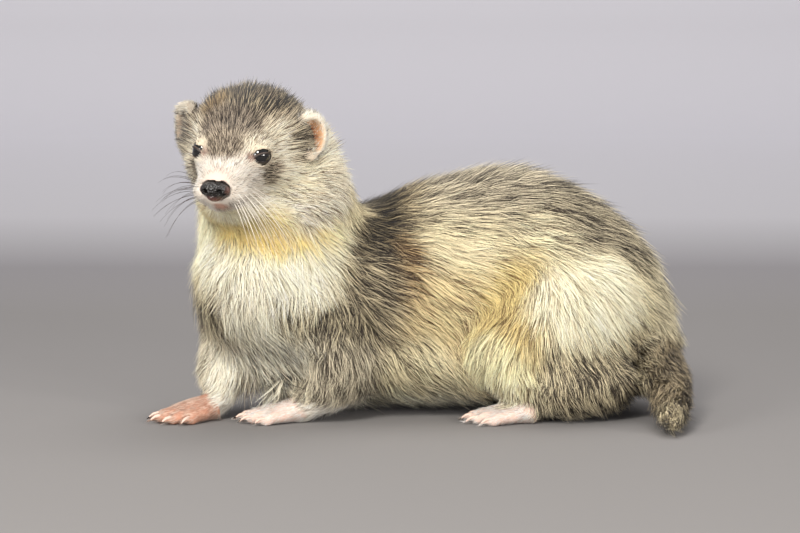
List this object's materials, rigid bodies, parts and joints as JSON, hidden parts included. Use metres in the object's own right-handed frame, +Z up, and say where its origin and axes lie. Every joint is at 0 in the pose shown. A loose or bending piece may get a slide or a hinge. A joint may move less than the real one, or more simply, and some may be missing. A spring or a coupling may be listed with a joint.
{
  "type": "ferret figure",
  "caption": "Life-size ferret crouched on all four feet, chest and head turned to its left, tail curled round to its left; a still museum-style model",
  "frame": {"origin": "On the floor, under the middle of the whole animal's bounding box.", "axes": "+Z up. The trunk lies along X with the rump at +X and the shoulders at -X. The animal's left side, which the picture shows, faces -Y."},
  "size_m": [0.236, 0.1286, 0.145],
  "materials": {
    "face_fur": "short cream-white coat with dark mask and crown",
    "throat_fur": "yellow-ochre coat",
    "body_fur": "cream underfur with dark guard hairs",
    "tail_fur": "grey-brown ticked coat",
    "leg_fur": "grey-brown coat with white hair",
    "thigh_fur": "cream coat, yellow towards the knee",
    "paw_skin": "pink skin with short white hair",
    "ear_skin": "pink-brown skin with cream hair on the rim",
    "eye_gloss": "wet, glossy black",
    "nose_skin": "moist dark brown skin, reddish below"
  },
  "bodies": {
    "root": {"head": "face_fur", "neck": "throat_fur", "torso": "body_fur", "tail": "tail_fur", "foreleg_left": "leg_fur", "foreleg_right": "leg_fur", "forepaw_left": "paw_skin", "forepaw_right": "paw_skin", "hindleg_left": "thigh_fur", "hindleg_right": "thigh_fur", "hindfoot_left": "paw_skin", "hindfoot_right": "paw_skin", "ear_left": "ear_skin", "ear_right": "ear_skin", "eye_left": "eye_gloss", "eye_right": "eye_gloss", "nose": "nose_skin"}
  },
  "joints": []
}
